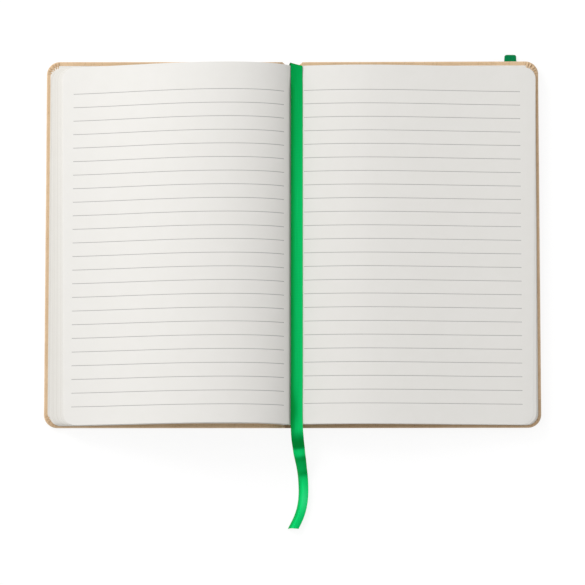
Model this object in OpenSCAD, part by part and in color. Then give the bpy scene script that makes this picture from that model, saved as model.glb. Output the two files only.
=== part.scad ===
// Case-bound ruled notebook, lying open near its middle.
// The front cover lies towards -X, the back cover towards +X, the head towards +Y and +Z is up.
// The origin is the middle of the spine's underside, on the table.

/* [Covers] */
// Height of the cover boards from head to foot
board_h = 209.4; // [180:0.1:240]
// Width of one cover board
board_w = 134.2; // [115:0.1:160]
// Thickness of the cover boards
board_t = 2; // [1.6:0.1:3]
// Radius of the boards' fore-edge corners
board_corner_r = 7.2; // [5:0.1:9]
// Thickness of the kraft cover paper
paper_t = 0.3; // [0.2:0.05:0.4]
// Width of the cover paper turned in over the boards
turn_in = 15; // [12:0.5:20]
// Number of pleats gathered at each rounded corner
pleats = 9; // [5:1:11]
// Height of a pleat above the turned-in paper
pleat_h = 0.25; // [0.15:0.05:0.3]
// Distance of the pleats from the endpaper's edge
pleat_clear = 0.2; // [0.1:0.1:0.5]

/* [Spine and joints] */
// Width of the spine strip
spine_w = 7.2; // [6:0.2:10]
// Thickness of the spine strip
spine_t = 0.8; // [0.5:0.1:1.6]
// How far the spine stays inside the covers' head edge
spine_inset = 1.5; // [0:0.1:2.5]
// Width of the joint groove between spine strip and board
joint_w = 2.2; // [2:0.1:4]
// Half the slit between the papers of two bodies along a hinge line
hinge_gap = 0.2; // [0.15:0.05:0.3]
// Thickness of the mull glued on the leaves' spine
mull_t = 0.3; // [0.2:0.05:0.4]
// Distance from the leaves' head and foot to the mull
mull_inset = 16; // [10:0.5:24]
// Glue between the leaves and the mull
mull_clear = 0.05; // [0.02:0.01:0.1]
// Depth of the glued spine under the fold between the two pages
glue_t = 0.8; // [0.6:0.1:1.2]

/* [Endpapers] */
// Thickness of the endpapers
endpaper_t = 0.2; // [0.15:0.05:0.3]
// Margin of kraft paper left showing round an endpaper
endpaper_margin = 2.5; // [2:0.1:4]
// Radius of the endpapers' fore-edge corners
endpaper_corner_r = 10; // [9:0.5:12]

/* [Leaves] */
// Distance from the cover's head edge to the leaves
head_square = 4; // [1:0.1:5]
// Distance from the cover's foot edge to the leaves
foot_square = 0.9; // [0.5:0.1:5]
// Distance from the front cover's fore edge to the lowest left leaf
left_square = 3; // [1:0.1:6]
// Distance from the back cover's fore edge to the lowest right leaf
right_square = 1.9; // [1:0.1:6]
// Thickness of the stack of left leaves
left_stack = 6.2; // [4:0.1:7]
// Thickness of the stack of right leaves
right_stack = 3.8; // [3:0.1:6]
// How far the arch draws the top left leaf in from the lowest
left_bevel = 7.6; // [5:0.1:10]
// How far the arch draws the top right leaf in from the lowest
right_bevel = 2.4; // [1:0.1:5]
// Height of the left pages' arch above the table
left_crown_h = 27.2; // [22:0.1:32]
// Distance of the left arch's crown from the spine's middle
left_crown_x = 36; // [30:0.5:44]
// Height of the right pages' arch above the table
right_crown_h = 16.4; // [15:0.1:20]
// Distance of the right arch's crown from the spine's middle
right_crown_x = 41; // [34:0.5:50]
// Height of the fold between the two pages
fold_h = 11.6; // [11:0.1:13]
// Distance of that fold from the spine's middle
fold_x = 0.6; // [0:0.1:1.2]
// Radius of the leaves' trimmed corners
leaf_corner_r = 6.6; // [4:0.1:9]
// Air between the leaves and the endpaper they lie on
leaf_clear = 0.15; // [0.1:0.05:0.3]

/* [Ribbon] */
// Width of the ribbon marker
ribbon_w = 7; // [5:0.1:7.4]
// Thickness of the ribbon marker
ribbon_t = 0.5; // [0.3:0.1:0.6]

/* [Elastic band] */
// Width of the elastic band
band_w = 7.2; // [5:0.1:9]
// Thickness of the elastic band
band_t = 0.8; // [0.6:0.1:1.1]
// Distance from the back cover's fore edge to the band
band_inset = 12.1; // [9:0.1:20]
// Distance from the cover's head and foot edges to the band's slots
slot_inset = 6; // [5:0.5:8]
// How far the band's glued ends stay inside the turned-in paper
tail_clear = 1; // [0.5:0.1:2]
// How far the slack fold sticks out past the head edge
fold_out = 4.4; // [3:0.1:7]
// Radius of the fold's corners seen from above
fold_corner_r = 1.8; // [1:0.1:2.4]
// Air between the two layers of the slack fold
fold_gap = 0.2; // [0.1:0.05:0.3]
// Air round the band in its slots
slot_clear = 0.25; // [0.15:0.05:0.4]

/* [Hidden] */
$fn = 64;

kraft = "#c9a67c";
greyboard = "#8f8a82";
leaf_white = "#efece5";
endpaper_white = "#e4e1d9";
mull_cream = "#e6dfcd";
ribbon_green = "#0aa850";
band_green = "#0b7a3c";

eps = 0.01;
board_x = spine_w / 2 + joint_w;            // inner edge of each board
hinge_x = spine_w / 2 + joint_w / 2;        // hinge line of each cover
hinge_z = paper_t / 2;
hinge_edge = hinge_x + hinge_gap;           // where a cover's papers begin
cover_x = board_x + board_w + paper_t;      // fore edge of each cover
cover_h = board_h + 2 * paper_t;
cover_r = board_corner_r + paper_t;
inner_z = paper_t + board_t;                // inner face of a board
cover_t = inner_z + paper_t;                // thickness of a cover where the paper is turned in
lining_z = cover_t + endpaper_t;            // upper face of an endpaper
joint_z = 2 * paper_t;                      // top of the doubled paper in a joint
spine_top = paper_t + spine_t;              // upper face of the spine strip
spine_h = cover_h - spine_inset;            // height of the spine, flush with the covers at the foot
open_x = cover_x - turn_in;                 // the board shows inside the turned-in frame up to here
open_h = cover_h - 2 * turn_in;

// The back cover rests on the elastic's doubled fold, so it lies a little raised about its hinge.
fold_t = 2 * band_t + fold_gap;
band_x = cover_x - band_inset - band_w;     // edge of the band nearest the spine
band_reach = norm([band_x - hinge_x, fold_t + hinge_z]);
back_tilt = atan((fold_t + hinge_z) / (band_x - hinge_x)) - asin(hinge_z / band_reach);
slot_y = cover_h / 2 - slot_inset;          // outer face of the band where it passes a slot
tail_l = turn_in - slot_inset - tail_clear; // end of the band glued under the endpaper
fold_y = cover_h / 2 + fold_out;

// Height above the table at x of the leaves' underside over the back cover.
function back_floor(x) = hinge_z + (x - hinge_x) * tan(back_tilt)
    + (lining_z - hinge_z) / cos(back_tilt) + leaf_clear;

block_foot = -cover_h / 2 + foot_square;
block_head = cover_h / 2 - head_square;
left_low = [left_square - cover_x, lining_z + leaf_clear];
left_top = left_low + [left_bevel, left_stack];
right_low = [cover_x - right_square, back_floor(cover_x - right_square)];
right_top = right_low + [-right_bevel, right_stack];
left_crown = [-left_crown_x, left_crown_h];
right_crown = [right_crown_x, right_crown_h];
fold = [fold_x, fold_h];

// Points on the cubic curve with the four given control points, without its first.
function curve_point(p, t) = pow(1 - t, 3) * p[0] + 3 * pow(1 - t, 2) * t * p[1]
    + 3 * (1 - t) * t * t * p[2] + t * t * t * p[3];
function curve(p, steps) = [for (i = [1:steps]) curve_point(p, i / steps)];

// Control points of a page's flank from its low end up to the crown, where it runs level.
// The shares say how far the handles reach along and up from the low end, and back from the crown.
function flank(low, crown, along, up, level) = [
    low,
    low + [along * (crown[0] - low[0]), up * (crown[1] - low[1])],
    crown + [level * (low[0] - crown[0]), 0],
    crown
];
function turned(p) = [for (i = [len(p) - 1:-1:0]) p[i]];

// A path moved sideways by t, to the right of its run.
function beside(p, t) = [for (i = [0:len(p) - 1])
    let (d = p[min(i + 1, len(p) - 1)] - p[max(i - 1, 0)]) p[i] + t * [d[1], -d[0]] / norm(d)];

// The two open pages seen from the foot, each as a path from left to right.
left_page = concat([left_top], curve(flank(left_top, left_crown, 0.28, 0.1, 0.38), 14),
    curve(turned(flank(fold, left_crown, 0.06, 0.5, 0.6)), 14));
right_page = concat([fold], curve(flank(fold, right_crown, 0.07, 0.2, 0.45), 10),
    curve(turned(flank(right_top, right_crown, 0.29, 0.08, 0.27)), 12));

// The lowest leaves, and the glued spine that runs over the hollow between their two roots.
left_under = beside(left_page, left_stack);
right_under = beside(right_page, right_stack);
left_root = left_under[len(left_under) - 1];
right_root = right_under[0];
spine_peak = 2 * (fold - [0, glue_t]) - (left_root + right_root) / 2;
glued_spine = [for (i = [0:12]) let (t = i / 12)
    pow(1 - t, 2) * left_root + 2 * (1 - t) * t * spine_peak + t * t * right_root];

// Plan of a board or sheet: square at the spine, rounded at the fore edge.
module cover_plan(x0, x1, h, r) {
    translate([x0, -h / 2]) square([x1 - r - x0, h]);
    translate([x0, r - h / 2]) square([x1 - x0, h - 2 * r]);
    for (side = [-1, 1]) translate([x1 - r, side * (h / 2 - r)]) circle(r);
}

module slab(z0, z1) translate([0, 0, z0]) linear_extrude(z1 - z0) children();

// A box from its lowest to its highest corner.
module block_between(low, high) translate(low) cube(high - low);

// A section in the YZ plane, swept along X from x0 to x1.
module along_x(x0, x1) translate([x0, 0, 0]) rotate([90, 0, 90]) linear_extrude(x1 - x0) children();

// A section in the XZ plane, swept along Y from y0 to y1.
module along_y(y0, y1) translate([0, y1, 0]) rotate([90, 0, 0]) linear_extrude(y1 - y0) children();

// Both cover halves are drawn flat on the +X side, then put in their places.
module on_front() mirror([1, 0, 0]) children();
module on_back() translate([hinge_x, 0, hinge_z]) rotate([0, -back_tilt, 0])
    translate([-hinge_x, 0, -hinge_z]) children();

// The same at the head and at the foot.
module both_ends() for (side = [0, 1]) mirror([0, side, 0]) children();

// Where the elastic passes the back cover and where its glued ends lie.
module band_slots() both_ends() {
    x0 = band_x - slot_clear;
    x1 = band_x + band_w + slot_clear;
    block_between([x0, slot_y - band_t - slot_clear, -eps], [x1, slot_y + slot_clear, cover_t + eps]);
    block_between([x0, slot_y - tail_l - slot_clear, cover_t - band_t], [x1, slot_y, cover_t + eps]);
}

module cover_board() slab(paper_t, inner_z) cover_plan(board_x, board_x + board_w, board_h, board_corner_r);

// Distance from a corner's centre, at an angle, to the endpaper's rounded corner.
function pleat_start(angle) =
    let (d = endpaper_corner_r + endpaper_margin - cover_r, s = cos(angle) + sin(angle))
    sqrt(d * d * s * s - 2 * d * d + endpaper_corner_r * endpaper_corner_r) - d * s;

// The paper gathered in narrow folds round a cover's corner.
module corner_pleats() {
    first = 6;                              // angle of the outermost pleats from the corner's ends
    pitch = (90 - 2 * first) / (pleats - 1);
    r1 = cover_r - pleat_clear;
    half = 0.3 * r1 * pitch * PI / 180;     // each pleat fills three fifths of its pitch
    both_ends() translate([cover_x - cover_r, cover_h / 2 - cover_r, cover_t - eps])
        for (i = [0:pleats - 1]) {
            angle = first + pitch * i;
            r0 = pleat_start(angle) + pleat_clear;
            rotate(angle) linear_extrude(pleat_h + eps)
                polygon([[r0, -half / 3], [r1, -half], [r1, half], [r0, half / 3]]);
        }
}

// Kraft sheet under the board, over its three outer edges and onto its inner face.
module cover_paper() {
    difference() {
        slab(0, cover_t) cover_plan(board_x, cover_x, cover_h, cover_r);
        slab(paper_t, inner_z) cover_plan(board_x - eps, board_x + board_w, board_h, board_corner_r);
        block_between([board_x - eps, -open_h / 2, paper_t], [open_x, open_h / 2, cover_t + eps]);
    }
    block_between([hinge_edge, -cover_h / 2, 0], [board_x, cover_h / 2, paper_t]);
    both_ends() {
        block_between([hinge_edge, open_h / 2, 0], [board_x, cover_h / 2, joint_z]);
        block_between([board_x - paper_t, open_h / 2, 0], [board_x, cover_h / 2, cover_t]);
    }
    corner_pleats();
}

// White sheet pasted over the turned-in paper, down the board's inner edge and into the joint.
module endpaper() {
    sheet_h = cover_h - 2 * endpaper_margin;
    drop_x = board_x - paper_t;             // outer face of the paper over the board's inner edge
    difference() {
        slab(inner_z, lining_z)
            cover_plan(drop_x - endpaper_t, cover_x - endpaper_margin, sheet_h, endpaper_corner_r);
        // The turned-in frame below
        difference() {
            slab(inner_z - eps, cover_t) cover_plan(drop_x - endpaper_t - eps, cover_x, cover_h, cover_r);
            block_between([board_x, -open_h / 2, 0], [open_x, open_h / 2, lining_z]);
        }
        // The dip over the bare board
        block_between([board_x + endpaper_t, endpaper_t - open_h / 2, inner_z + endpaper_t],
            [open_x - endpaper_t, open_h / 2 - endpaper_t, lining_z + eps]);
    }
    block_between([drop_x - endpaper_t, -sheet_h / 2, joint_z], [drop_x, sheet_h / 2, lining_z]);
    block_between([hinge_edge, -sheet_h / 2, joint_z], [drop_x, sheet_h / 2, joint_z + endpaper_t]);
}

module front_board() color(greyboard) on_front() cover_board();
module front_cover_paper() color(kraft) on_front() cover_paper();
module front_endpaper() color(endpaper_white) on_front() endpaper();

module back_board() color(greyboard) on_back() difference() {
    cover_board();
    band_slots();
}
module back_cover_paper() color(kraft) on_back() difference() {
    cover_paper();
    band_slots();
}
module back_endpaper() color(endpaper_white) on_back() endpaper();

// The band seen from the side: glued end, slot, slack fold, the run to the foot and its glued end.
module band_section() {
    fold_back = fold_y - fold_t / 2;
    for (side = [0, 1]) mirror([side, 0, 0]) {
        translate([slot_y - tail_l, cover_t - band_t]) square([tail_l, band_t]);
        translate([slot_y - band_t, -band_t]) square([band_t, cover_t + band_t]);
    }
    translate([slot_y - band_t, -band_t]) square([fold_back - slot_y + band_t, band_t]);
    translate([-slot_y, -fold_t]) square([fold_back + slot_y, band_t]);
    translate([-slot_y, -fold_t]) square([band_t, fold_t]);
    translate([fold_back, -fold_t / 2]) difference() {
        circle(fold_t / 2);
        circle(fold_gap / 2);
        translate([-fold_t, -fold_t]) square([fold_t, 2 * fold_t]);
    }
}

module elastic_band() color(band_green) on_back() intersection() {
    along_x(band_x, band_x + band_w) band_section();
    slab(-fold_t - eps, cover_t + eps) translate([band_x, 0]) {
        translate([0, -cover_h / 2]) square([band_w, cover_h / 2 + fold_y - fold_corner_r]);
        translate([fold_corner_r, 0]) square([band_w - 2 * fold_corner_r, fold_y]);
        for (x = [fold_corner_r, band_w - fold_corner_r])
            translate([x, fold_y - fold_corner_r]) circle(fold_corner_r);
    }
}

// The spine is drawn about its own middle, then put in its place between the covers.
module on_spine() translate([0, -spine_inset / 2, 0]) children();

// Narrow board between the two joints.
module spine_strip() color(greyboard) on_spine()
    block_between([-spine_w / 2, paper_t - spine_h / 2, paper_t], [spine_w / 2, spine_h / 2 - paper_t, spine_top]);

// The kraft sheet's middle, under the spine strip and half of each joint, turned in at head and foot.
module spine_paper() color(kraft) on_spine() {
    edge = hinge_x - hinge_gap;
    lap = spine_h / 2 - turn_in;            // where the turned-in paper ends
    block_between([-edge, -spine_h / 2, 0], [edge, spine_h / 2, paper_t]);
    both_ends() {
        block_between([-edge, lap, 0], [-spine_w / 2, spine_h / 2, joint_z]);
        block_between([spine_w / 2, lap, 0], [edge, spine_h / 2, joint_z]);
        difference() {
            block_between([-spine_w / 2 - paper_t, lap, 0],
                [spine_w / 2 + paper_t, spine_h / 2, spine_top + paper_t]);
            block_between([-spine_w / 2, 0, paper_t], [spine_w / 2, spine_h / 2 - paper_t, spine_top]);
        }
    }
}

// Open-weave cloth glued over the leaves' spine, with a flange down into each joint.
module spine_lining() color(mull_cream) along_y(block_foot + mull_inset, block_head - mull_inset) {
    foot_x = (spine_w / 2 + paper_t + hinge_x - hinge_gap) / 2;
    path = concat(
        [[-foot_x - mull_t / 2, joint_z], [-foot_x - mull_t / 2, lining_z]],
        beside(glued_spine, mull_clear),
        [[foot_x + mull_t / 2, lining_z], [foot_x + mull_t / 2, joint_z]]);
    polygon(concat(path, turned(beside(path, mull_t))));
}

// Cuts the leaves' corners round, following the slope of the fanned fore edge from low to top.
module corner_cutters(low, top) {
    lean = atan2(top[0] - low[0], top[1] - low[1]);
    reach = 4 * (top[1] - low[1]) / cos(lean);
    across = leaf_corner_r * cos(lean);
    inward = lean > 0 ? 1 : -1;
    outer = 2;                              // how far the cutter reaches past the fore edge
    for (side = [-1, 1]) translate([low[0], side > 0 ? block_head : block_foot, low[1]])
        rotate([0, lean, 0]) mirror([inward < 0 ? 1 : 0, 0, 0]) mirror([0, side < 0 ? 1 : 0, 0])
            translate([0, 0, -reach / 2]) linear_extrude(1.5 * reach) polygon(concat(
                [[-outer, outer], [-outer, -leaf_corner_r]],
                [for (i = [0:12]) [across * (1 - cos(90 * i / 12)), leaf_corner_r * (sin(90 * i / 12) - 1)]],
                [[across, outer]]));
}

// All the leaves as one solid: two stacks that arch from the glued spine down onto the covers.
module page_block() color(leaf_white) difference() {
    along_y(block_foot, block_head) polygon(concat(
        [left_low], left_page, [for (i = [1:len(right_page) - 1]) right_page[i]], [right_low],
        turned(right_under), [for (i = [11:-1:1]) glued_spine[i]], turned(left_under)));
    corner_cutters(left_low, left_top);
    corner_cutters(right_low, right_top);
}

// Ribbon's centre line as x, y, z and roll: from the spine over the head, down the gutter, onto the table.
ribbon_route = [
    [1.6, 86, 7.1, 0], [1.6, 94, 7.1, 0], [1.6, 100.2, 7.1, 0], [1.6, 101.2, 7.4, 1],
    [1.7, 101.6, 8.4, 3], [1.9, 101.6, 11, 9], [2.1, 101.5, 13, 14], [2.2, 100.9, 14.2, 16],
    [2.3, 99, 14.2, 17], [2.3, 94, 14, 17], [2.4, 84, 14, 17], [2.4, 68, 14, 17], [2.4, 50, 14, 17],
    [2.4, 32, 14, 17], [2.4, 14, 14, 17], [2.4, -4, 14, 17], [2.4, -22, 14, 17], [2.4, -40, 14, 17],
    [2.4, -58, 14, 17], [2.4, -74, 14, 17], [2.3, -90, 14, 17], [2.3, -102, 14, 15], [2.5, -107.5, 13.3, 10],
    [2.9, -112.5, 11.2, 4], [3.5, -117, 8.2, -1], [4, -120.5, 6.5, -4], [4.6, -124.5, 4.8, -8],
    [5.2, -129, 2.9, -13], [5.7, -134.5, 2, -18], [5.9, -141, 1.9, -21], [5.3, -148, 1.9, -22],
    [3.4, -154.9, 1.9, -22], [0.5, -160.9, 1.9, -22]
];

function unit(v) = v / norm(v);

// Ring of eight points round the ribbon at its i-th place, wide along X and thin across.
function ribbon_ring(i) =
    let (
        last = len(ribbon_route) - 1,
        here = ribbon_route[i],
        place = [here[0], here[1], here[2]],
        before = ribbon_route[max(i - 1, 0)],
        after = ribbon_route[min(i + 1, last)],
        run = unit([after[0] - before[0], after[1] - before[1], after[2] - before[2]]),
        flat = unit([1, 0, 0] - run[0] * run),
        wide = unit(cos(here[3]) * flat - sin(here[3]) * [0, 0, 1]),
        thin = unit(cross(run, wide))
    )
    [for (k = [0:7]) place + ribbon_w / 2 * cos(45 * k) * wide + ribbon_t / 2 * sin(45 * k) * thin];

module ribbon_marker() color(ribbon_green) {
    rings = len(ribbon_route);
    polyhedron(
        points = [for (i = [0:rings - 1]) each ribbon_ring(i)],
        faces = concat(
            [[for (k = [0:7]) k]],
            [for (i = [0:rings - 2], k = [0:7])
                [8 * i + k, 8 * i + 8 + k, 8 * i + 8 + (k + 1) % 8, 8 * i + (k + 1) % 8]],
            [[for (k = [7:-1:0]) 8 * (rings - 1) + k]]),
        convexity = 8);
}

page_block();
spine_lining();
spine_strip();
spine_paper();
ribbon_marker();
front_board();
front_cover_paper();
front_endpaper();
back_board();
back_cover_paper();
back_endpaper();
elastic_band();
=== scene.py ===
import math
import random

import bmesh
import bpy
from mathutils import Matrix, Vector
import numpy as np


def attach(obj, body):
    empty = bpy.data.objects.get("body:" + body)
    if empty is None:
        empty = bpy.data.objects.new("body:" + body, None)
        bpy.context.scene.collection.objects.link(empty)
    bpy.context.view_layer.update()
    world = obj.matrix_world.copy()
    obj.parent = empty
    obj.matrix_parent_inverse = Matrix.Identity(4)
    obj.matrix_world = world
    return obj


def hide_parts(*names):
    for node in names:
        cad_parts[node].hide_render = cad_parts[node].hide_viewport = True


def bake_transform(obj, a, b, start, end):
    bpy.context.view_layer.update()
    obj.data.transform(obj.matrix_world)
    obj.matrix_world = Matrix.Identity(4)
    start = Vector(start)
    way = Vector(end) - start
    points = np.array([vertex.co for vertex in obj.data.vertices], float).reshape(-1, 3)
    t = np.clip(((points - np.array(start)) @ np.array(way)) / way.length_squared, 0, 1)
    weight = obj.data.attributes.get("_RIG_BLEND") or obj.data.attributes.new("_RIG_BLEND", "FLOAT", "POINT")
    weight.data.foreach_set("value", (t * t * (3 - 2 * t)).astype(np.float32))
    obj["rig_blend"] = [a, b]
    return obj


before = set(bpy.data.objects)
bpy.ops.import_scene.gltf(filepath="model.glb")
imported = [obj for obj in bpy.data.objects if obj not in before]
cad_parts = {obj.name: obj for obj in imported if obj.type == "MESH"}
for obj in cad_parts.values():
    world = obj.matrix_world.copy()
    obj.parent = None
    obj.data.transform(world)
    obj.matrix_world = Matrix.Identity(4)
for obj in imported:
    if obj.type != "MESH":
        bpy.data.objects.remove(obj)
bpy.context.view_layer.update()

# Greyboards. Two stiff cover boards and a thin strip between them in the spine, cut from grey
# recycled board. The kraft paper is glued round them, so none of them shows on the finished book.


class Signal:
    """One socket in a finish. Arithmetic on it adds Math nodes."""

    def __init__(self, finish, socket):
        self.finish = finish
        self.socket = socket

    def math(self, operation, *others):
        return self.finish.node("ShaderNodeMath", {"operation": operation}, [self, *others])

    def clamped(self):
        return self.finish.node("ShaderNodeClamp", {}, [self])

    def __add__(self, other):
        return self.math("ADD", other)

    def __sub__(self, other):
        return self.math("SUBTRACT", other)

    def __rsub__(self, other):
        return self.finish.node("ShaderNodeMath", {"operation": "SUBTRACT"}, [other, self])

    def __mul__(self, other):
        return self.math("MULTIPLY", other)

    def __truediv__(self, other):
        return self.math("DIVIDE", other)

    def __gt__(self, other):
        return self.math("GREATER_THAN", other)

    def __lt__(self, other):
        return self.math("LESS_THAN", other)

    def __abs__(self):
        return self.math("ABSOLUTE")

    __radd__ = __add__
    __rmul__ = __mul__


class Finish:
    """A surface finish, built one node at a time."""

    def __init__(self, name, **fixed):
        self.material = bpy.data.materials.new(name)
        self.material.use_nodes = True
        self.tree = self.material.node_tree
        self.skin = self.tree.nodes["Principled BSDF"]
        for socket, value in fixed.items():
            self.set(socket.replace("_", " "), value)

    def set(self, socket, value):
        self.feed(self.skin.inputs[socket], value)

    def feed(self, socket, value):
        if isinstance(value, Signal):
            self.tree.links.new(value.socket, socket)
        else:
            socket.default_value = value

    def node(self, kind, settings=None, sockets=(), output=0):
        added = self.tree.nodes.new(kind)
        for name, value in (settings or {}).items():
            setattr(added, name, value)
        named = sockets.items() if isinstance(sockets, dict) else enumerate(sockets)
        for socket, value in named:
            self.feed(added.inputs[socket], value)
        return Signal(self, added.outputs[output])

    def place(self, scale=(1, 1, 1), turn=0):
        """Object coordinates, scaled, and turned about Z by an angle in degrees."""
        spot = self.node("ShaderNodeTexCoord", output="Object")
        angle = (0, 0, math.radians(turn))
        return self.node("ShaderNodeMapping", {}, {"Vector": spot, "Scale": scale, "Rotation": angle})

    def millimetres(self):
        """Object coordinates in millimetres."""
        return self.place((1000, 1000, 1000))

    def part(self, axis, where):
        """One part, X, Y or Z, of a place."""
        return self.node("ShaderNodeSeparateXYZ", {}, [where], axis)

    def noise(self, where, scale, detail=3, roughness=0.5):
        return self.node("ShaderNodeTexNoise", {}, {
            "Vector": where, "Scale": scale, "Detail": detail, "Roughness": roughness})

    def between(self, share, first, second):
        """Mix of two colours."""
        return self.node("ShaderNodeMix", {"data_type": "RGBA"}, {0: share, 6: first, 7: second}, output=2)

    def relief(self, height, depth_mm):
        """Bumps of that depth, fed to the shader's normal."""
        self.set("Normal", self.node("ShaderNodeBump", {}, {"Height": height, "Distance": depth_mm / 1000}))


def tint(red, green, blue):
    """A colour given as it looks on a screen, 0 to 255, as the shader wants it."""
    parts = (part / 255 for part in (red, green, blue))
    return (*(part / 12.92 if part <= 0.04045 else ((part + 0.055) / 1.055) ** 2.4 for part in parts), 1)


def dress(node, finish):
    """Gives a node of the frame its finish."""
    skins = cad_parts[node].data.materials
    skins.clear()
    skins.append(finish.material)


def greyboard_finish():
    board = Finish("greyboard", Roughness=0.9)
    pulp = board.noise(board.place(), 260, 5, 0.6)
    flecks = board.noise(board.place((1, 2.2, 6), 35), 900, 2)
    shade = board.between(pulp, tint(122, 117, 109), tint(160, 155, 146))
    board.set("Base Color", board.between(((flecks - 0.6) * 6).clamped(), shade, tint(90, 84, 76)))
    board.relief(pulp + 0.4 * flecks, 0.08)
    return board


greyboard = greyboard_finish()
for board_node in ("front_board", "back_board", "spine_strip"):
    dress(board_node, greyboard)

# Cover paper. One sheet of brown kraft paper is glued round both boards and the spine strip, and pressed
# into the joints between them. It is turned in over all edges and gathered in tucks round the corners.
# Each cover, the spine and each joint has its part of the sheet, and a joint's part bends with its cover.

COVER_H = 210.0
COVER_R = 7.5
COVER_T = 2.6
PAPER_T = 0.3
# Distances from the spine's middle: where a board starts, its fore edge and the hinge in its joint
BOARD_X = 5.8
FORE_X = 140.3
HINGE_X = 4.7
HINGE_Z = 0.15
BACK_TILT = math.radians(0.887)
EDGE_R = 0.8
TURN_IN = 15.0
SPINE_INSET = 1.5
ENDPAPER_MARGIN = 2.5
# The tucks round each corner: their number, their greatest height, and the insets between which they rise
TUCKS = 5
TUCK_H = 0.75
TUCK_FROM = 0.15
TUCK_TO = 4.4
# One tuck from its valley to its lip, which hangs over the next valley, as share of its width and height
TUCK_SECTION = [(0, 0.05), (0.17, 0.25), (0.35, 0.5), (0.53, 0.74), (0.7, 0.92), (0.84, 1), (0.95, 0.9),
                (0.82, 0)]
# Under and upper side of the sheet beside the spine's middle, as distance and height
JOINT_UNDER = [(0, 0), (3.4, 0), (3.7, 0.1), (4.1, 0.38), (4.7, 0.45), (5.3, 0.36), (5.6, 0.1), (5.8, 0)]
JOINT_UPPER = [(0, 1.4), (3.5, 1.4), (3.8, 1.22), (4.1, 1.05), (4.55, 1.02), (4.85, 1.2), (5.55, 2.35),
               (5.7, 2.55), (5.8, 2.6)]


def lay(mesh, columns, rows, spot):
    """Adds a grid of faces to a mesh and returns its corners by column and row.

    spot gives the place of a corner in millimetres."""
    chart = mesh.loops.layers.uv.verify()
    corners = {}
    for corner in bmesh.ops.create_grid(mesh, x_segments=columns, y_segments=rows, size=0.5)["verts"]:
        column = round((corner.co.x + 0.5) * columns)
        row = round((corner.co.y + 0.5) * rows)
        corners[column, row] = corner
        for loop in corner.link_loops:
            loop[chart].uv = (column / columns, row / rows)
    for (column, row), corner in corners.items():
        corner.co = Vector(spot(column, row)) / 1000
    return corners


def make_piece(name, mesh, finish, body=None, sharp=35, replaced=(), facing=None):
    """Turns a mesh into a piece of the notebook. An open sheet's outer side looks the way of facing."""
    bmesh.ops.recalc_face_normals(mesh, faces=mesh.faces)
    if facing and sum((face.normal * face.calc_area() for face in mesh.faces), Vector()).dot(facing) < 0:
        bmesh.ops.reverse_faces(mesh, faces=mesh.faces)
    for face in mesh.faces:
        face.smooth = True
    for edge in mesh.edges:
        edge.smooth = edge.calc_face_angle(0) < math.radians(sharp)
    data = bpy.data.meshes.new(name)
    mesh.to_mesh(data)
    mesh.free()
    piece = bpy.data.objects.new(name, data)
    bpy.context.scene.collection.objects.link(piece)
    data.materials.append(finish.material)
    if body:
        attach(piece, body)
    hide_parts(*replaced)
    return piece


def thicken(piece, thickness_mm):
    """Gives a sheet its thickness, away from its outer side."""
    wall = piece.modifiers.new("paper", "SOLIDIFY")
    wall.thickness = thickness_mm / 1000
    wall.offset = -1
    bpy.context.view_layer.update()
    solid = bpy.data.meshes.new_from_object(piece.evaluated_get(bpy.context.evaluated_depsgraph_get()))
    piece.modifiers.clear()
    piece.data = solid


def on_front(point):
    """Place on the front cover of a point that is drawn on the flat back cover."""
    return (-point[0], point[1], point[2])


def on_back(point):
    """Place of a point of the flat back cover, which lies on the elastic's fold and so is a little raised."""
    along = point[0] - HINGE_X
    up = point[2] - HINGE_Z
    return (HINGE_X + along * math.cos(BACK_TILT) - up * math.sin(BACK_TILT), point[1],
            HINGE_Z + along * math.sin(BACK_TILT) + up * math.cos(BACK_TILT))


def in_middle(point):
    """Place of a point of the spine, which needs no move."""
    return point


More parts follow.
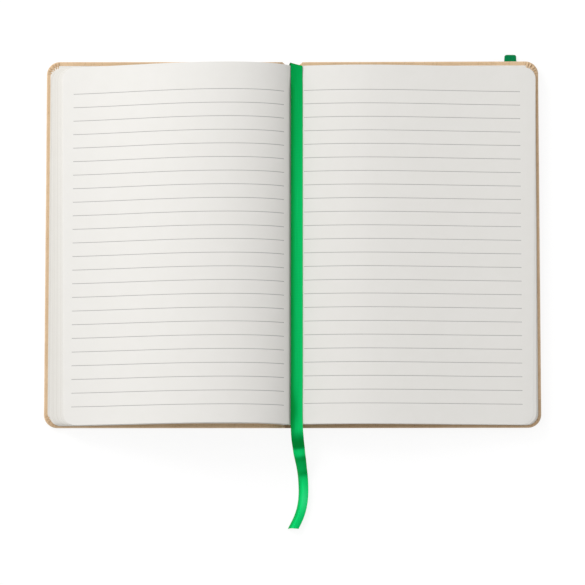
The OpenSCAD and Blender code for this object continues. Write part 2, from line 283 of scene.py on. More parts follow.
def kraft_finish():
    kraft = Finish("kraft_paper")
    kraft.set("Specular IOR Level", 0.3)
    cloud = kraft.noise(kraft.place(), 90, 4, 0.6)
    fibres = kraft.noise(kraft.place((1, 7, 1), 12), 420, 3)
    cross = kraft.noise(kraft.place((6, 1, 1), -20), 380, 3)
    specks = kraft.noise(kraft.place(), 1500, 2)
    spot = kraft.millimetres()
    worn_w = 0.7
    rim = abs(kraft.part("Y", spot)) - (COVER_H / 2 - worn_w)
    rim = rim.math("MAXIMUM", abs(kraft.part("X", spot)) - (FORE_X - worn_w))
    shade = kraft.between(cloud, tint(211, 177, 138), tint(234, 204, 168))
    shade = kraft.between(((fibres - 0.52) * 3).clamped() * 0.5, shade, tint(236, 210, 174))
    shade = kraft.between(((cross - 0.55) * 4).clamped() * 0.5, shade, tint(162, 124, 86))
    shade = kraft.between(((specks - 0.68) * 9).clamped() * 0.6, shade, tint(116, 84, 56))
    rubbed = (rim * 2).clamped() * (cloud * 2 - 0.6).clamped()
    shade = kraft.between(rubbed * 0.6, shade, tint(236, 216, 190))
    # Painted shade, partly glue stain, darkens the valleys of the tucks round the corners
    tuck_shade_and_glue = kraft.node("ShaderNodeAttribute", {"attribute_name": "tuck_shade_and_glue"}, output="Fac")
    # The upper side at the foot gets painted shade from the spine to the right, where the leaves and the ribbon
    # shade it, and a painted highlight on the joints' ridges
    across = kraft.part("X", spot)
    upper_z = 0.9
    at_foot = (kraft.part("Y", spot) < 1 - COVER_H / 2 + TURN_IN) * (kraft.part("Z", spot) > upper_z)
    # Painted shade at the foot, strongest near the spine and fainter further right
    painted_shade_from = -4.9
    darkest_to = 10
    foot_painted_shade = ((darkest_to - across) * 0.2).clamped().math("MAXIMUM", 0.55 - across * 0.002)
    foot_painted_shade = (across - painted_shade_from).clamped() * foot_painted_shade * at_foot
    # Painted highlight on the joints' ridges at the foot
    ridge_painted_highlight = (1.4 - abs(abs(across) - BOARD_X) * 2).clamped() * at_foot
    shade = kraft.between(ridge_painted_highlight * 0.6, shade, tint(240, 218, 186))
    # Painted shade at the foot and in the tucks, with glue stain in the tucks, is mixed into the kraft's colour
    painted_shade_and_glue = (tuck_shade_and_glue * (cloud * 1.8 - 0.5).clamped()).math("MAXIMUM", foot_painted_shade * 0.85)
    kraft.set("Base Color", kraft.between(painted_shade_and_glue * 0.85, shade, tint(104, 76, 49)))
    kraft.set("Roughness", 0.74 + 0.16 * cloud)
    kraft.relief(fibres + cross + 0.5 * specks, 0.03)
    return kraft


def cover_outline():
    """Stations round a cover's edge, from hinge over head, fore edge and foot back to the hinge.

    Each has its place, its outward run and, on a corner, whether that is at head or foot, the share of the
    way round of the edge and of the tucks' lips, and the tuck's height."""
    corner_x = FORE_X - COVER_R
    corner_y = COVER_H / 2 - COVER_R
    stations = []
    for side in (1, -1):
        chance = random.Random(5 + side)
        rises = [chance.uniform(0.35, 1) for _ in range(TUCKS)]
        starts = [0] + [(tuck + chance.uniform(-0.35, 0.35)) / TUCKS for tuck in range(1, TUCKS)] + [1]
        along = (BOARD_X, 20, 60, 100, 125.3, corner_x - 2)
        straight = [(x, side * COVER_H / 2, 0, side, None) for x in along]
        round_corner = []
        for tuck in range(TUCKS):
            width = starts[tuck + 1] - starts[tuck]
            for step, (share, height) in enumerate(TUCK_SECTION):
                even = starts[tuck] + width * step / len(TUCK_SECTION)
                lip = starts[tuck] + width * share
                ends = min(1, 9 * even, 9 * (1 - even))
                round_corner.append((even, lip, height * rises[tuck] * ends))
        turned = []
        for even, lip, height in round_corner + [(1, 1, 0)]:
            angle = math.radians(90 - 90 * even) * side
            place = (corner_x + COVER_R * math.cos(angle), side * corner_y + COVER_R * math.sin(angle))
            turned.append((*place, math.cos(angle), math.sin(angle), (side, even, lip, height)))
        down = [(FORE_X, side * y, 1, 0, None) for y in (corner_y - 2, 89.6, 50)]
        stations.append(straight + turned + down)
    return stations[0] + stations[1][::-1]


def cover_section():
    """Rows of the cover paper from under the board round its edge and in over it, as inset and height."""
    rows = [(12, 0), (4, 0)]
    for step in range(5):
        angle = math.radians(22.5 * step)
        rows.append((EDGE_R * (1 - math.sin(angle)), EDGE_R * (1 - math.cos(angle))))
    for step in range(5):
        angle = math.radians(22.5 * step)
        rows.append((EDGE_R * (1 - math.cos(angle)), COVER_T - EDGE_R * (1 - math.sin(angle))))
    return rows + [(inset, COVER_T) for inset in (1.1, 1.6, 2.2, 2.8, 3.4, 4.2, 6.8, TURN_IN)]


def tucked(station, inset, z):
    """Place of the gathered paper at a station of a corner, at that inset from the edge."""
    side, even, lip, height = station
    inset = min(inset, COVER_R - 0.6)
    spread = 0
    if z > COVER_T / 2:
        spread = min(1, max(0, inset - TUCK_FROM) / 0.9)
        z += TUCK_H * height * spread * min(1, max(0.2, (TUCK_TO - inset) / 1.4))
    angle = math.radians(90 - 90 * (even + (lip - even) * spread)) * side
    reach = COVER_R - inset
    return (FORE_X - COVER_R + reach * math.cos(angle),
            side * (COVER_H / 2 - COVER_R) + reach * math.sin(angle), z)


def cover_kraft(name, body, node, put):
    """The part of the sheet round one cover board."""
    outline = cover_outline()
    section = cover_section()

    def spot(column, row):
        x, y, run_x, run_y, corner = outline[column]
        inset, z = section[row]
        if corner:
            return put(tucked(corner, inset, z))
        if x > FORE_X - COVER_R - 3 and abs(y) > COVER_H / 2 - COVER_R - 3:
            inset = min(inset, COVER_R)
        return put((x - run_x * inset, y - run_y * inset, z))

    mesh = bmesh.new()
    tuck_shade_and_glue = mesh.verts.layers.float.new("tuck_shade_and_glue")
    corners = lay(mesh, len(outline) - 1, len(section) - 1, spot)
    for (column, row), corner in corners.items():
        tuck = outline[column][4]
        inset, z = section[row]
        # The low valleys of the tucks on the upper side take painted shade, partly glue stain
        if tuck and z > COVER_T / 2 and 0 < tuck[1] < 1:
            corner[tuck_shade_and_glue] = max(0, 1 - tuck[3] * 2) * min(1, inset / 0.8)
    bmesh.ops.contextual_create(mesh, geom=[corners[column, 0] for column in range(len(outline))])
    piece = make_piece(name, mesh, kraft, body, 40, [node], Vector((0, 0, -1)))
    thicken(piece, PAPER_T)


def height_at(table, distance):
    """Height at a distance, from a table of both."""
    for (near, low), (far, high) in zip(table, table[1:]):
        if distance <= far:
            return low + (high - low) * (distance - near) / (far - near)
    return table[-1][1]


def middle_kraft(name, across, put, body=None, replaced=()):
    """A strip of the sheet along the spine: its laps at head and foot and the long part below."""
    laps = [(TURN_IN, 90), (6, 90), (1.5, 90)]
    turn = [(0, angle) for angle in (90, 60, 30, 0, -30, -60, -90)]
    foot = laps + turn + [(1.5, -90), (30, -90), (70, -90)]
    rows = [(-1, *row) for row in foot] + [(1, *row) for row in foot[::-1]]

    def spot(column, row):
        x = across[column]
        side, inset, angle = rows[row]
        under = height_at(JOINT_UNDER, abs(x))
        upper = height_at(JOINT_UPPER, abs(x))
        radius = min(EDGE_R, (upper - under) / 2)
        short = 0
        if side > 0:
            short = SPINE_INSET * min(1, max(0, (BOARD_X - abs(x)) / 1.9))
        reach = COVER_H / 2 - short - inset
        if not inset:
            reach += radius * (math.cos(math.radians(angle)) - 1)
        lift = math.sin(math.radians(angle))
        z = upper - radius * (1 - lift) if lift > 0 else under + radius * (1 + lift)
        return put((x, side * reach, z))

    mesh = bmesh.new()
    lay(mesh, len(across) - 1, len(rows) - 1, spot)
    piece = make_piece(name, mesh, kraft, body, 40, replaced, Vector((0, 0, -1)))
    thicken(piece, PAPER_T)
    return piece


kraft = kraft_finish()
cover_kraft("front_kraft", "front_cover", "front_cover_paper", on_front)
cover_kraft("back_kraft", "back_cover", "back_cover_paper", on_back)
half_spine = [3.95, 3.75, 3.5, 3.35, 1.8]
spine_across = [-x for x in half_spine] + [0] + half_spine[::-1]
middle_kraft("spine_kraft", spine_across, in_middle, "book_block", ["spine_paper"])
joint_across = [3.8, 3.95, 4.1, 4.3, 4.55, 4.7, 4.85, 5.1, 5.3, 5.55, 5.6, 5.7, 5.8]
front_joint = middle_kraft("front_joint", joint_across, on_front)
back_joint = middle_kraft("back_joint", joint_across, on_back)
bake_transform(front_joint, "book_block", "front_cover", start=(-0.0040, 0, 0.00015), end=(-0.0054, 0, 0.00015))
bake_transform(back_joint, "book_block", "back_cover", start=(0.0040, 0, 0.00015), end=(0.0054, 0, 0.00015))

# Elastic band. A flat woven elastic runs round the back cover through a slot near head and foot, where
# its ends are glued under the endpaper. Its slack lies in a flat fold that sticks out past the head.

BAND_X = 121.0
BAND_W = 7.2
BAND_T = 0.76
BAND_CORDS = 9
BAND_PICK = 0.55
BAND_FOLD_R = 0.5
SLOT_Y = 99.0
TAIL_Y = 91.0
FOLD_Y = 109.4
FOLD_CORNER = 1.3


def arc(centre, radius, first, last, steps=6):
    """Points on an arc about a centre, between two angles in degrees."""
    angles = (math.radians(first + (last - first) * step / steps) for step in range(steps + 1))
    return [Vector((centre[0] + radius * math.cos(angle), centre[1] + radius * math.sin(angle)))
            for angle in angles]


def band_line():
    """Middle line of the elastic as y and height, from its glued end at the head to the one at the foot."""
    inner = SLOT_Y - BAND_T / 2
    top = COVER_T - BAND_T / 2 - 0.02
    low = -BAND_T / 2 - 0.02
    fold_back = FOLD_Y - BAND_FOLD_R - BAND_T / 2
    line = [Vector((TAIL_Y, top))]
    line += arc((inner - 0.5, top - 0.5), 0.5, 90, 0)
    line += arc((inner + 0.5, low + 0.5), 0.5, 180, 270)
    line += arc((fold_back, low - BAND_FOLD_R), BAND_FOLD_R, 90, -90, 12)
    under = low - 2 * BAND_FOLD_R
    line += [Vector((y, under)) for y in (104, 90, 60, 20, -20, -60, -90)]
    line += arc((0.5 - inner, under + 0.5), 0.5, 270, 180)
    line += arc((0.5 - inner, top - 0.5), 0.5, 180, 90)
    return line + [Vector((-TAIL_Y, top))]


def rounded_end(distance, half, radius):
    """Half the width of a strip or sheet at a distance from its end, where its corners are rounded."""
    if distance >= radius:
        return half
    return half - radius + math.sqrt(radius ** 2 - (radius - max(0, distance)) ** 2)


def beside(path, distance):
    """A path moved sideways, to the left of its run."""
    moved = []
    for here, point in enumerate(path):
        run = path[min(here + 1, len(path) - 1)] - path[max(here - 1, 0)]
        moved.append(point + distance * Vector((-run.y, run.x)).normalized())
    return moved


def corded_section():
    """Points round the elastic's ribbed section, as shares of its half width and half thickness."""
    steps = BAND_CORDS * 4
    face = []
    for step in range(steps + 1):
        share = 2 * step / steps - 1
        rib = 0.8 + 0.2 * abs(math.sin(math.pi * step / 4))
        face.append((share, rib * (1 - share ** 16 * 0.6)))
    return face + [(share, -height) for share, height in reversed(face)] + face[:1]


def elastic_finish():
    elastic = Finish("green_elastic", Roughness=0.62)
    elastic.set("Specular IOR Level", 0.25)
    elastic.set("Specular Tint", tint(90, 230, 150))
    spot = elastic.millimetres()
    cords = ((elastic.part("X", spot) * (2 * math.pi * BAND_CORDS / BAND_W)).math("SINE") + 1) * 0.5
    picks = ((elastic.part("Y", spot) * (2 * math.pi / BAND_PICK)).math("SINE") + 1) * 0.5
    fuzz = elastic.noise(elastic.place(), 1800, 2)
    shade = elastic.between(cords * picks, tint(0, 104, 58), tint(20, 178, 108))
    elastic.set("Base Color", elastic.between(fuzz * 0.4, shade, tint(8, 138, 78)))
    elastic.relief(cords * 0.5 + picks + fuzz, 0.08)
    return elastic


def elastic_band():
    line = band_line()
    section = corded_section()
    outer = beside(line, BAND_T / 2)

    def spot(column, row):
        across, thick = section[column]
        half = rounded_end(FOLD_Y - line[row].x - BAND_T / 2, BAND_W / 2, FOLD_CORNER)
        place = line[row] + thick * (outer[row] - line[row])
        return on_back((BAND_X + BAND_W / 2 + across * half, place.x, place.y))

    mesh = bmesh.new()
    corners = lay(mesh, len(section) - 1, len(line) - 1, spot)
    bmesh.ops.remove_doubles(mesh, verts=list(corners.values()), dist=1e-7)
    bmesh.ops.holes_fill(mesh, edges=[edge for edge in mesh.edges if edge.is_boundary], sides=0)
    make_piece("elastic", mesh, elastic_finish(), "back_cover", 60, ["elastic_band"])


elastic_band()

# Leaves. A hundred ruled leaves with rounded corners are glued together at the spine. Opened near the
# middle, they arch from the glued fold down onto the covers, and their fore edges fan out in steps.

# Where the leaves are trimmed at the foot and at the head
LEFT_TRIM = (-104.1, 100.35)
RIGHT_TRIM = (-103.7, 100.75)
LEAF_R = 6.6
LEAF_T = 0.085
LEFT_TOP = Vector((-129.7, 9.15))
LEFT_LOW = Vector((-137.3, 2.95))
RIGHT_TOP = Vector((136.0, 8.82))
RIGHT_LOW = Vector((138.4, 5.02))
LEFT_CROWN = Vector((-36, 27.2))
RIGHT_CROWN = Vector((41, 16.4))
FOLD = Vector((0.6, 11.6))
LEFT_LEAVES = 62
RIGHT_LEAVES = 38
LEFT_STACK = 6.2
RIGHT_STACK = 3.8
# The top leaves on the right, of which the fore edges lie loose further in than the others
LOOSE_LEAVES = 3
# How far the open leaf's fore edge lies further out in the middle, and how much more at the head
LEFT_REACH = (0.2, 1.1)
RIGHT_REACH = (0.9, 1.7)
# How far that reach runs in from the fore edge, and how far the edge droops over what run
REACH_RUN = 25.0
DROOP = 0.9
DROOP_RUN = 7.0


def flank(low, crown, along, up, level, steps=36):
    """Points of a page's flank from its low end up to the crown, on one cubic curve."""
    first = low + Vector((along * (crown.x - low.x), up * (crown.y - low.y)))
    second = crown + Vector((level * (low.x - crown.x), 0))
    points = []
    for step in range(steps + 1):
        t = step / steps
        points.append((1 - t) ** 3 * low + 3 * (1 - t) ** 2 * t * first
                      + 3 * (1 - t) * t * t * second + t ** 3 * crown)
    return points


def measured(path, distances):
    """Points at those distances along a path. distances gives them for the path's length."""
    reach = [0]
    for first, second in zip(path, path[1:]):
        reach.append(reach[-1] + (second - first).length)
    points = []
    here = 0
    for distance in distances(reach[-1]):
        while here < len(path) - 2 and reach[here + 1] < distance:
            here += 1
        share = (distance - reach[here]) / (reach[here + 1] - reach[here])
        points.append(path[here].lerp(path[here + 1], share))
    return points


def leaf_stations(length):
    """Distances from a leaf's fore edge, close together round its corners and near the gutter."""
    corner = [LEAF_R * (1 - math.cos(math.radians(90 * step / 7))) for step in range(8)]
    steps = 44
    rest = [LEAF_R + (length - LEAF_R) * (1 - (1 - step / steps) ** 1.7) for step in range(1, steps + 1)]
    return corner + rest


# Each open page runs from its fore edge over the crown of the arch down to the fold
left_page = flank(LEFT_TOP, LEFT_CROWN, 0.28, 0.1, 0.38)
left_page += flank(FOLD, LEFT_CROWN, 0.06, 0.5, 0.6)[-2::-1]
right_page = flank(RIGHT_TOP, RIGHT_CROWN, 0.29, 0.08, 0.27)
right_page += flank(FOLD, RIGHT_CROWN, 0.07, 0.2, 0.45)[-2::-1]


def ruled_paper_finish():
    """Off-white writing paper with 24 grey rules a page, drawn where the leaf lies in the open book."""
    pitch = 7.7675
    rule_w = 0.3
    half_rules = 12
    left_middle = -4.49
    right_middle = -2.9
    left_rules = (-124.5, -4.8)
    right_rules = (6.5, 129.5)
    paper = Finish("ruled_leaves", Roughness=0.8)
    paper.set("Specular IOR Level", 0.2)
    cloud = paper.noise(paper.place(), 120, 4, 0.6)
    grain = paper.noise(paper.place(), 2600, 2)
    spot = paper.millimetres()
    x = paper.part("X", spot)
    on_left = x < FOLD.x
    rows = (paper.part("Y", spot) - right_middle + on_left * (right_middle - left_middle)) / pitch
    off_rule = abs(rows.math("FRACT") - 0.5) * pitch
    line = ((rule_w / 2 - off_rule) * 10 + 0.5).clamped()
    along_rule = (x > left_rules[0]) * (x < left_rules[1]) + (x > right_rules[0]) * (x < right_rules[1])
    on_page = (abs(rows) < half_rules) * along_rule
    leaf_tone_and_shade = paper.node("ShaderNodeAttribute", {"attribute_name": "leaf_tone_and_shade"}, output="Fac")
    ruled = paper.node("ShaderNodeAttribute", {"attribute_name": "ruled"}, output="Fac")
    shade = paper.between(cloud, tint(239, 237, 232), tint(243, 241, 237))
    # Lower leaves are darker, partly random tone and partly painted shade in the gaps between stacked leaves
    shade = paper.between(leaf_tone_and_shade, tint(216, 213, 206), shade)
    ink = line * on_page * ruled * (0.7 + 0.3 * grain)
    paper.set("Base Color", paper.between(ink, shade, tint(150, 148, 148)))
    paper.relief(grain + cloud, 0.01)
    return paper


def leaf_section(steps):
    """Round a leaf's section, over one face and back along the other, as share of half height and face."""
    over = [(2 * step / steps - 1, 0) for step in range(steps + 1)]
    return over + [(share, 1) for share, _ in reversed(over)] + over[:1]


def stack_of_leaves(mesh, page, top, low, stack, leaves, side, trim, reach):
    """Adds the leaves of one side, from the open page down to the cover."""
    leaf_tone_and_shade = mesh.verts.layers.float["leaf_tone_and_shade"]
    ruled = mesh.verts.layers.float["ruled"]
    chance = random.Random(7 if side > 0 else 3)
    foot, head = trim
    middle = (head + foot) / 2
    drift = 0
    for leaf in range(leaves):
        depth = stack * leaf / leaves
        drift = 0.82 * drift + chance.uniform(-0.12, 0.12)
        share_x = leaf / leaves
        if side > 0:
            share_x = 0 if leaf < LOOSE_LEAVES else 0.65 + 0.35 * share_x
        start = Vector((top.x + (low.x - top.x) * share_x + side * min(drift, 0.25),
                        top.y + (low.y - top.y) * leaf / leaves))
        half = (head - foot) / 2 + chance.uniform(-0.05, 0.05)
        section = leaf_section(1 if leaf else 16)
        faces = []
        for face_depth in (depth, depth + LEAF_T):
            flat = beside(page, side * face_depth)
            fore = [start - Vector((0, face_depth - depth))] if leaf else []
            faces.append(measured(fore + flat, leaf_stations))
        distances = leaf_stations(150)

        def spot(column, row):
            share, face = section[column]
            place = faces[face][row]
            y = share * rounded_end(distances[row], half, LEAF_R)
            out = (reach[0] + reach[1] * y / half) * (1 - share_x) * math.exp(-distances[row] / REACH_RUN)
            down = DROOP * (1 - leaf / leaves) * math.exp(-distances[row] / DROOP_RUN)
            return (place.x + side * out, middle + y, place.y - down)

        # Each lower leaf is darker at random, partly random tone and partly painted shade between leaves; the
        # open top leaf stays lightest
        shade = (chance.uniform(0.3, 1) if side < 0 else chance.uniform(0.8, 1)) if leaf else 1
        for corner in lay(mesh, len(section) - 1, len(distances) - 1, spot).values():
            corner[leaf_tone_and_shade] = shade
            corner[ruled] = leaf < leaves - 1


def all_leaves():
    leaves = bmesh.new()
    leaves.verts.layers.float.new("leaf_tone_and_shade")
    leaves.verts.layers.float.new("ruled")
    stack_of_leaves(leaves, left_page, LEFT_TOP, LEFT_LOW, LEFT_STACK, LEFT_LEAVES, -1,
                    LEFT_TRIM, LEFT_REACH)
    stack_of_leaves(leaves, right_page, RIGHT_TOP, RIGHT_LOW, RIGHT_STACK, RIGHT_LEAVES, 1,
                    RIGHT_TRIM, RIGHT_REACH)
    bmesh.ops.remove_doubles(leaves, verts=leaves.verts, dist=1e-7)
    bmesh.ops.holes_fill(leaves, edges=[edge for edge in leaves.edges if edge.is_boundary], sides=0)
    make_piece("leaves", leaves, ruled_paper_finish(), "book_block", 35, ["page_block"])


all_leaves()

# Spine glue and lining. The leaves' backs are glued under the fold, and a strip of open-weave cotton,
# the mull, is pasted over the glue and down into both joints. It holds the leaves in their case.

GLUE_T = 0.8


def glue_finish():
    glue = Finish("spine_glue", Roughness=0.45)
    cloud = glue.noise(glue.place(), 300, 3)
    glue.set("Base Color", glue.between(cloud, tint(214, 204, 180), tint(234, 227, 208)))
    glue.relief(cloud, 0.1)
    return glue


def spine_glue():
    """Closed bar of dried glue between the ends of the two stacks and the mull."""
    left_root = beside(left_page, -LEFT_STACK)[-1]
    right_root = beside(right_page, RIGHT_STACK)[-1]
    peak = 2 * (FOLD - Vector((0, GLUE_T))) - (left_root + right_root) / 2
    shares = [step / 10 for step in range(11)]
    back = [(1 - t) ** 2 * left_root + 2 * (1 - t) * t * peak + t * t * right_root for t in shares]
    section = back + [FOLD - Vector((0, 0.05)), back[0]]
    ends = [LEFT_TRIM[0] + 0.4, LEFT_TRIM[1] - 0.4]

    def spot(column, row):
        return (section[column].x, ends[row], section[column].y)

    mesh = bmesh.new()
    lay(mesh, len(section) - 1, 1, spot)
    bmesh.ops.remove_doubles(mesh, verts=mesh.verts, dist=1e-7)
    bmesh.ops.holes_fill(mesh, edges=[edge for edge in mesh.edges if edge.is_boundary], sides=0)
    make_piece("spine_glue", mesh, glue_finish(), "book_block", 30)


def mull_finish():
    mull = Finish("mull", Roughness=0.95)
    thread = 0.9
    spot = mull.millimetres()
    warp = (mull.part("X", spot) * (2 * math.pi / thread)).math("SINE")
    weft = (mull.part("Y", spot) * (2 * math.pi / thread)).math("SINE")
    weave = (warp.math("MAXIMUM", weft) + 1) * 0.5
    mull.set("Base Color", mull.between(weave, tint(176, 164, 140), tint(232, 224, 204)))
    mull.relief(weave, 0.12)
    return mull


spine_glue()
dress("spine_lining", mull_finish())

# Ribbon marker. A green satin ribbon is glued to the leaves' spine near the head, comes up over the
# head of the leaves, lies down the gutter and ends in a slanted cut on the table past the foot.

# Its middle line in metres and its roll in degrees, where a rising left edge is positive
RIBBON_ROUTE = [
    (0.0016, 0.086, 0.0071, 0), (0.0016, 0.094, 0.0071, 0), (0.0016, 0.1002, 0.0071, 0),
    (0.0016, 0.1012, 0.0074, 1), (0.0017, 0.1016, 0.0084, 3), (0.0019, 0.1016, 0.011, 9),
    (0.0021, 0.1015, 0.013, 14), (0.0022, 0.1009, 0.0142, 16), (0.0023, 0.099, 0.0142, 17),
    (0.0023, 0.094, 0.014, 17), (0.0024, 0.084, 0.014, 17), (0.0024, 0.068, 0.014, 17),
    (0.0024, 0.05, 0.014, 17), (0.0024, 0.032, 0.014, 17), (0.0024, 0.014, 0.014, 17),
    (0.0024, -0.004, 0.014, 17), (0.0024, -0.022, 0.014, 17), (0.0024, -0.04, 0.014, 17),
    (0.0024, -0.058, 0.014, 17), (0.0024, -0.074, 0.014, 17), (0.0023, -0.09, 0.014, 17),
    (0.0023, -0.102, 0.014, 15), (0.0025, -0.1075, 0.0137, 10), (0.0029, -0.1125, 0.0116, 4),
    (0.0035, -0.117, 0.008, -1), (0.004, -0.121, 0.0074, -4), (0.0046, -0.1245, 0.0057, -8),
    (0.0052, -0.129, 0.0037, -13), (0.0057, -0.1338, 0.0018, -18), (0.0059, -0.141, 0.0021, -21),
    (0.0053, -0.148, 0.0019, -22), (0.0034, -0.1549, 0.0019, -22), (0.0001, -0.1618, 0.0019, -22),
]
RIBBON_W = 0.007
RIBBON_T = 0.0004
RIBBON_LENGTH = 0.289
RIBBON_WEFT = 0.00045
# Where it leaves the gutter, and where the painted glint on its tail is brightest
RIBBON_LOOSE_Y = -0.106
RIBBON_PAINTED_GLINT_Y = -0.1452


def smooth_route(route, steps):
    """Points on one smooth curve through a route's points."""
    smooth = []
    for here in range(len(route) - 1):
        a, b, c, d = (Vector(route[min(max(here + near, 0), len(route) - 1)]) for near in (-1, 0, 1, 2))
        for step in range(steps):
            t = step / steps
            smooth.append(0.5 * (2 * b + (c - a) * t + (2 * a - 5 * b + 4 * c - d) * t * t
                                 + (3 * b - a - 3 * c + d) * t ** 3))
    return smooth + [Vector(route[-1])]


def satin_finish():
    satin = Finish("green_satin", Metallic=0.25)
    satin.set("IOR", 1.15)
    satin.set("Specular Tint", tint(60, 255, 150))
    # Painted sheen and shade, set on the ribbon's corners
    painted_sheen = satin.node("ShaderNodeAttribute", {"attribute_name": "painted_sheen"}, output="Fac")
    chart = satin.node("ShaderNodeTexCoord", output="UV")
    weft = ((satin.part("Y", chart) * (2 * math.pi * RIBBON_LENGTH / RIBBON_WEFT)).math("SINE") + 1) * 0.5
    stretched = satin.node("ShaderNodeMapping", {}, {"Vector": chart, "Scale": (40, 9, 1)})
    streaks = satin.noise(stretched, 3, 4)
    bright = satin.between(streaks, tint(0, 190, 90), tint(28, 238, 134))
    dull = satin.between(streaks, tint(0, 122, 46), tint(0, 158, 66))
    # Painted sheen and shade: the attribute mixes dull and bright satin, and where it passes 1, a painted glint
    shade = satin.between(painted_sheen.clamped(), dull, bright)
    shade = satin.between((painted_sheen - 1).clamped(), shade, tint(70, 248, 160))
    satin.set("Base Color", satin.between(weft * 0.15, shade, tint(0, 130, 54)))
    satin.set("Roughness", 0.3 + 0.14 * streaks)
    satin.relief(weft + streaks, 0.02)
    return satin


def ribbon_marker():
    route = smooth_route(RIBBON_ROUTE, 5)
    centres = [place.xyz for place in route]
    last = len(route) - 1
    around = 32

    def hang(here):
        """How loose the ribbon hangs, its curl, upwards in the gutter, and how far it is off the head."""
        loose = min(1, max(0, (RIBBON_LOOSE_Y - here.y) / 0.022))
        return loose, 1.15 * loose - 0.15, min(1, max(0, (0.1 - here.y) / 0.014))

    def spot(column, row):
        here = centres[row]
        run = (centres[min(row + 1, last)] - centres[max(row - 1, 0)]).normalized()
        roll = math.radians(route[row].w)
        flat = (Vector((1, 0, 0)) - run.x * run).normalized()
        wide = (math.cos(roll) * flat - math.sin(roll) * Vector((0, 0, 1))).normalized()
        thin = run.cross(wide).normalized()
        angle = 2 * math.pi * column / around
        side = math.cos(angle)
        loose, curl, settled = hang(here)
        bend = curl / (RIBBON_W / 2)
        across = math.sin(bend * side * RIBBON_W / 2) / bend
        rise = (math.cos(bend * side * RIBBON_W / 2) - (1 + math.cos(curl)) / 2) / bend
        creased = max(0, -0.25 - side) ** 1.5 * 0.0019 * (1 - loose) * settled
        # The fold over the head runs aslant, and so does the cut at the free end
        slant = -0.0007 * side * math.exp(-((here.y - 0.1012) / 0.004) ** 2)
        if row > last - 5:
            slant += 0.0014 * side * (row - last + 5) / 5
        place = here + across * wide + (rise + RIBBON_T / 2 * math.sin(angle)) * thin
        place.z += creased
        if here.y > 0.09:
            place.y += slant
        else:
            place -= slant * run
        return 1000 * place

    def painted_sheen_at(column, row):
        """Painted sheen and painted shade of the satin: brightest where it lies level, and darker where it
        leans or drops.

        It is also painted darker at the head and on the left at the foot, and has a painted glint on its tail."""
        here = centres[row]
        side = math.cos(2 * math.pi * column / around)
        loose, curl, settled = hang(here)
        lean = math.radians(route[row].w) * (1 - 0.4 * loose) + curl * side * (1 - 0.5 * loose)
        lean += 0.45 * math.sqrt(max(0, -0.25 - side)) * (1 - loose) * settled
        lean += 0.45 * max(0, 0.5 - side) * math.exp(-((here.y + 0.096) / 0.007) ** 2)
        run = (centres[min(row + 1, last)] - centres[max(row - 1, 0)]).normalized()
        level = math.exp(-(lean / 0.55) ** 2 - (run.z / 0.41) ** 4)
        near_head = min(1, max(0, (here.y - 0.02) / 0.08))
        painted_glint = math.exp(-((here.y - RIBBON_PAINTED_GLINT_Y) / 0.006) ** 2)
        return level * (1 - 0.5 * near_head + 0.5 * painted_glint)

    mesh = bmesh.new()
    painted_sheen = mesh.verts.layers.float.new("painted_sheen")
    corners = lay(mesh, around, last, spot)
    # Each corner gets its painted sheen and shade
    for place, corner in corners.items():
        corner[painted_sheen] = painted_sheen_at(*place)
    bmesh.ops.remove_doubles(mesh, verts=list(corners.values()), dist=1e-7)
    bmesh.ops.holes_fill(mesh, edges=[edge for edge in mesh.edges if edge.is_boundary], sides=0)
    ribbon = make_piece("ribbon", mesh, satin_finish(), "book_block", 70, ["ribbon_marker"])


ribbon_marker()

# Endpapers. A sheet of plain off-white paper is pasted on each board over the turned-in kraft paper.
# It runs down the board's inner edge, over the joint and up beside the mull to the outermost leaf.

LINING_Z = 2.8
# How far the board reaches that no turned-in kraft covers
OPEN_X = 125.3
OPEN_Y = 90.0
SINK_DEPTH = 0.28
ENDPAPER_T = 0.2
HINGE_PAPER_T = 0.12
ENDPAPER_R = 6.0
FORE_MARGIN = 2.1
JOINT_PAPER = Vector((4.88, 1.4))


def plain_paper_finish():
    paper = Finish("endpaper", Roughness=0.85)
    cloud = paper.noise(paper.place(), 130, 4, 0.6)
    grain = paper.noise(paper.place(), 2600, 2)
    paper.set("Base Color", paper.between(cloud, tint(228, 225, 218), tint(238, 235, 229)))
    paper.relief(grain + cloud, 0.012)
    return paper


def pastedown(name, body, node, put):
    """The pasted half of an endpaper, which sinks a little where no turned-in kraft lies under it."""
    fore = FORE_X - FORE_MARGIN
    half = COVER_H / 2 - ENDPAPER_MARGIN
    near = [ENDPAPER_R * (1 - math.cos(math.radians(11.25 * step))) for step in range(9)]
    runs = [(fore - distance, LINING_Z) for distance in near]
    runs += [(x, LINING_Z) for x in (126, 125.6, 125.2, 124.8, 124.2, 110, 80, 50, 25, 9)]
    runs += [(6.6, LINING_Z), (6.0, LINING_Z - 0.04), (5.7, LINING_Z - 0.14), (5.45, 2.42), (5.2, 2.0),
             (5.0, 1.66), JOINT_PAPER]
    # A side of up to 1 is a share of the sheet's half height there, and a greater one is in millimetres
    sides = [1, 0.97, 90.8, 90.4, 90, 89.6, 89, 70, 30]
    across = sides + [0] + [-side for side in reversed(sides)]

    def spot(column, row):
        x, z = runs[row]
        edge = rounded_end(fore - x, half, ENDPAPER_R)
        side = across[column]
        y = side * edge if abs(side) <= 1 else side
        depth = max(0, min((OPEN_X + 0.6 - x) / 1.6, (OPEN_Y + 0.6 - abs(y)) / 1.6, 1))
        sink = depth ** 2 * (3 - 2 * depth)
        return put((x, y, z - (SINK_DEPTH * sink if x > 6.5 else 0)))

    mesh = bmesh.new()
    lay(mesh, len(across) - 1, len(runs) - 1, spot)
    piece = make_piece(name, mesh, plain_paper, body, 50, [node], Vector((0, 0, 1)))
    thicken(piece, ENDPAPER_T)


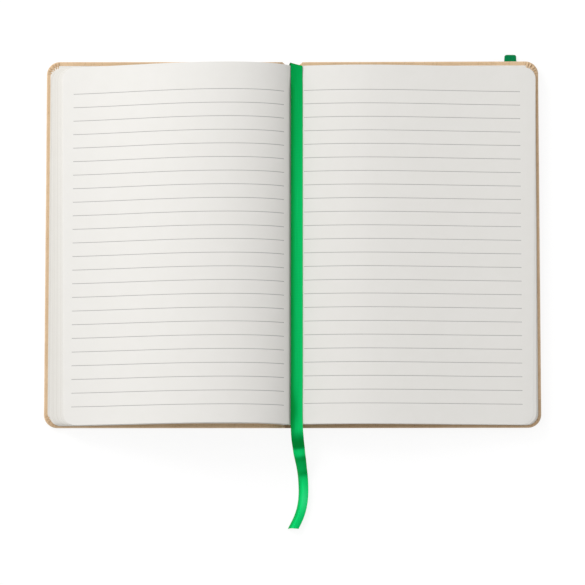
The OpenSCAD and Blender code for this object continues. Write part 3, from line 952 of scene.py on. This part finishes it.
def hinge_paper(name, body, side, page, stack, put):
    """The endpaper from the joint up to the outermost leaf, where it is tipped on."""
    foot = Vector(put((JOINT_PAPER.x, 0, JOINT_PAPER.y))).xz
    leaf = measured(beside(page, side * (stack + HINGE_PAPER_T))[::-1], lambda length: (0, 0.8, 2, 4, 6, 8))
    route = [foot, Vector((side * 4.66, 1.6)), Vector((side * 4.52, 2.1)), Vector((side * 4.5, 2.8))]
    bowed = route[-1].lerp(leaf[0], 0.5) + Vector((side * 0.35, 0))
    route += [bowed] + leaf
    half = COVER_H / 2 - ENDPAPER_MARGIN
    leaf_half = 102
    leaf_middle = -1.5

    def spot(column, row):
        share = min(1, max(0, row - 3) / 3)
        reach = half - share * (half - leaf_half)
        return (route[row].x, leaf_middle * share + reach * (2 * column - 1), route[row].y)

    mesh = bmesh.new()
    lay(mesh, 1, len(route) - 1, spot)
    piece = make_piece(name, mesh, plain_paper, None, 60, (), Vector((side, 0, -0.3)))
    thicken(piece, HINGE_PAPER_T)
    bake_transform(piece, body, "book_block", start=(side * 0.0050, 0, 0.0011), end=(side * 0.0045, 0, 0.0018))


plain_paper = plain_paper_finish()
pastedown("front_pastedown", "front_cover", "front_endpaper", on_front)
pastedown("back_pastedown", "back_cover", "back_endpaper", on_back)
hinge_paper("front_hinge_paper", "front_cover", -1, left_page, LEFT_STACK, on_front)
hinge_paper("back_hinge_paper", "back_cover", 1, right_page, RIGHT_STACK, on_back)

# Camera, table and light. The camera looks down on the notebook from a little in front of it. The
# table is plain white. The surround is brightest on the left, and two soft lamps shine from the upper
# left and from the right.

EYE = Vector((0, -0.2952, 2.0325))
AIM = Vector((0, -0.02765, 0))
SKY_ALL = 0.3
SKY_LEFT = 0.72
SKY_BEHIND = 0.25
SKY_SPREAD = 0.3
TABLE_GLOW = 0.8
TABLE_LIGHT = 1.08
TABLE_Z = -0.0003
TABLE_HALF = 6

camera_data = bpy.data.cameras.new("camera")
camera_data.sensor_width = 36
camera_data.lens = 222.3
camera_data.clip_end = 50
camera = bpy.data.objects.new("camera", camera_data)
camera.location = EYE
camera.rotation_euler = (AIM - EYE).to_track_quat("-Z", "Y").to_euler()
bpy.context.scene.collection.objects.link(camera)
bpy.context.scene.camera = camera
bpy.context.scene.view_settings.view_transform = "Standard"


class Surround(Finish):
    """The world's nodes, built in the same way as a finish."""

    def __init__(self):
        self.world = bpy.data.worlds.new("surround")
        self.world.use_nodes = True
        self.tree = self.world.node_tree
        self.light = self.tree.nodes["Background"]


surround = Surround()
direction = surround.node("ShaderNodeTexCoord", output="Generated")
from_left = (SKY_SPREAD - surround.part("X", direction)).clamped()
from_behind = (SKY_SPREAD + surround.part("Y", direction)).clamped()
sky = SKY_ALL + SKY_LEFT * from_left + SKY_BEHIND * from_behind
camera_ray = surround.node("ShaderNodeLightPath", output="Is Camera Ray")
glossy_ray = surround.node("ShaderNodeLightPath", output="Is Glossy Ray")
clear_ray = surround.node("ShaderNodeLightPath", output="Is Transmission Ray")
seen = (camera_ray + glossy_ray + clear_ray).clamped()
surround.feed(surround.light.inputs["Strength"], sky * (1 - seen) + seen)
surround.light.inputs["Color"].default_value = (1, 1, 1, 1)
bpy.context.scene.world = surround.world


def soft_lamp(name, place, watts, size):
    lamp_data = bpy.data.lights.new(name, "AREA")
    lamp_data.energy = watts
    lamp_data.size = size
    lamp = bpy.data.objects.new(name, lamp_data)
    lamp.location = place
    lamp.rotation_euler = (-Vector(place)).to_track_quat("-Z", "Y").to_euler()
    bpy.context.scene.collection.objects.link(lamp)


soft_lamp("key", (-0.7, 0.75, 0.8), 5.2, 0.4)
soft_lamp("fill", (1.1, 0.15, 0.4), 1.4, 0.5)

table_mesh = bmesh.new()
bmesh.ops.create_grid(table_mesh, x_segments=1, y_segments=1, size=TABLE_HALF)
bmesh.ops.translate(table_mesh, verts=table_mesh.verts, vec=(0, 0, TABLE_Z))
table_data = bpy.data.meshes.new("table")
table_mesh.to_mesh(table_data)
table_mesh.free()
table = bpy.data.objects.new("table", table_data)
bpy.context.scene.collection.objects.link(table)
white = Finish("white_table", Roughness=0.9)
white.set("Base Color", (0.9, 0.9, 0.9, 1))
white.set("Specular IOR Level", 0)
glow = white.node("ShaderNodeEmission", {}, {"Color": (1, 1, 1, 1), "Strength": TABLE_LIGHT})
from_camera = white.node("ShaderNodeLightPath", output="Is Camera Ray")
from_gloss = white.node("ShaderNodeLightPath", output="Is Glossy Ray")
from_clear = white.node("ShaderNodeLightPath", output="Is Transmission Ray")
seen_share = (from_camera + from_gloss + from_clear).clamped() * TABLE_GLOW
plain = Signal(white, white.skin.outputs[0])
lit = white.node("ShaderNodeMixShader", {}, [seen_share, plain, glow])
white.feed(white.tree.nodes["Material Output"].inputs["Surface"], lit)
table_data.materials.append(white.material)
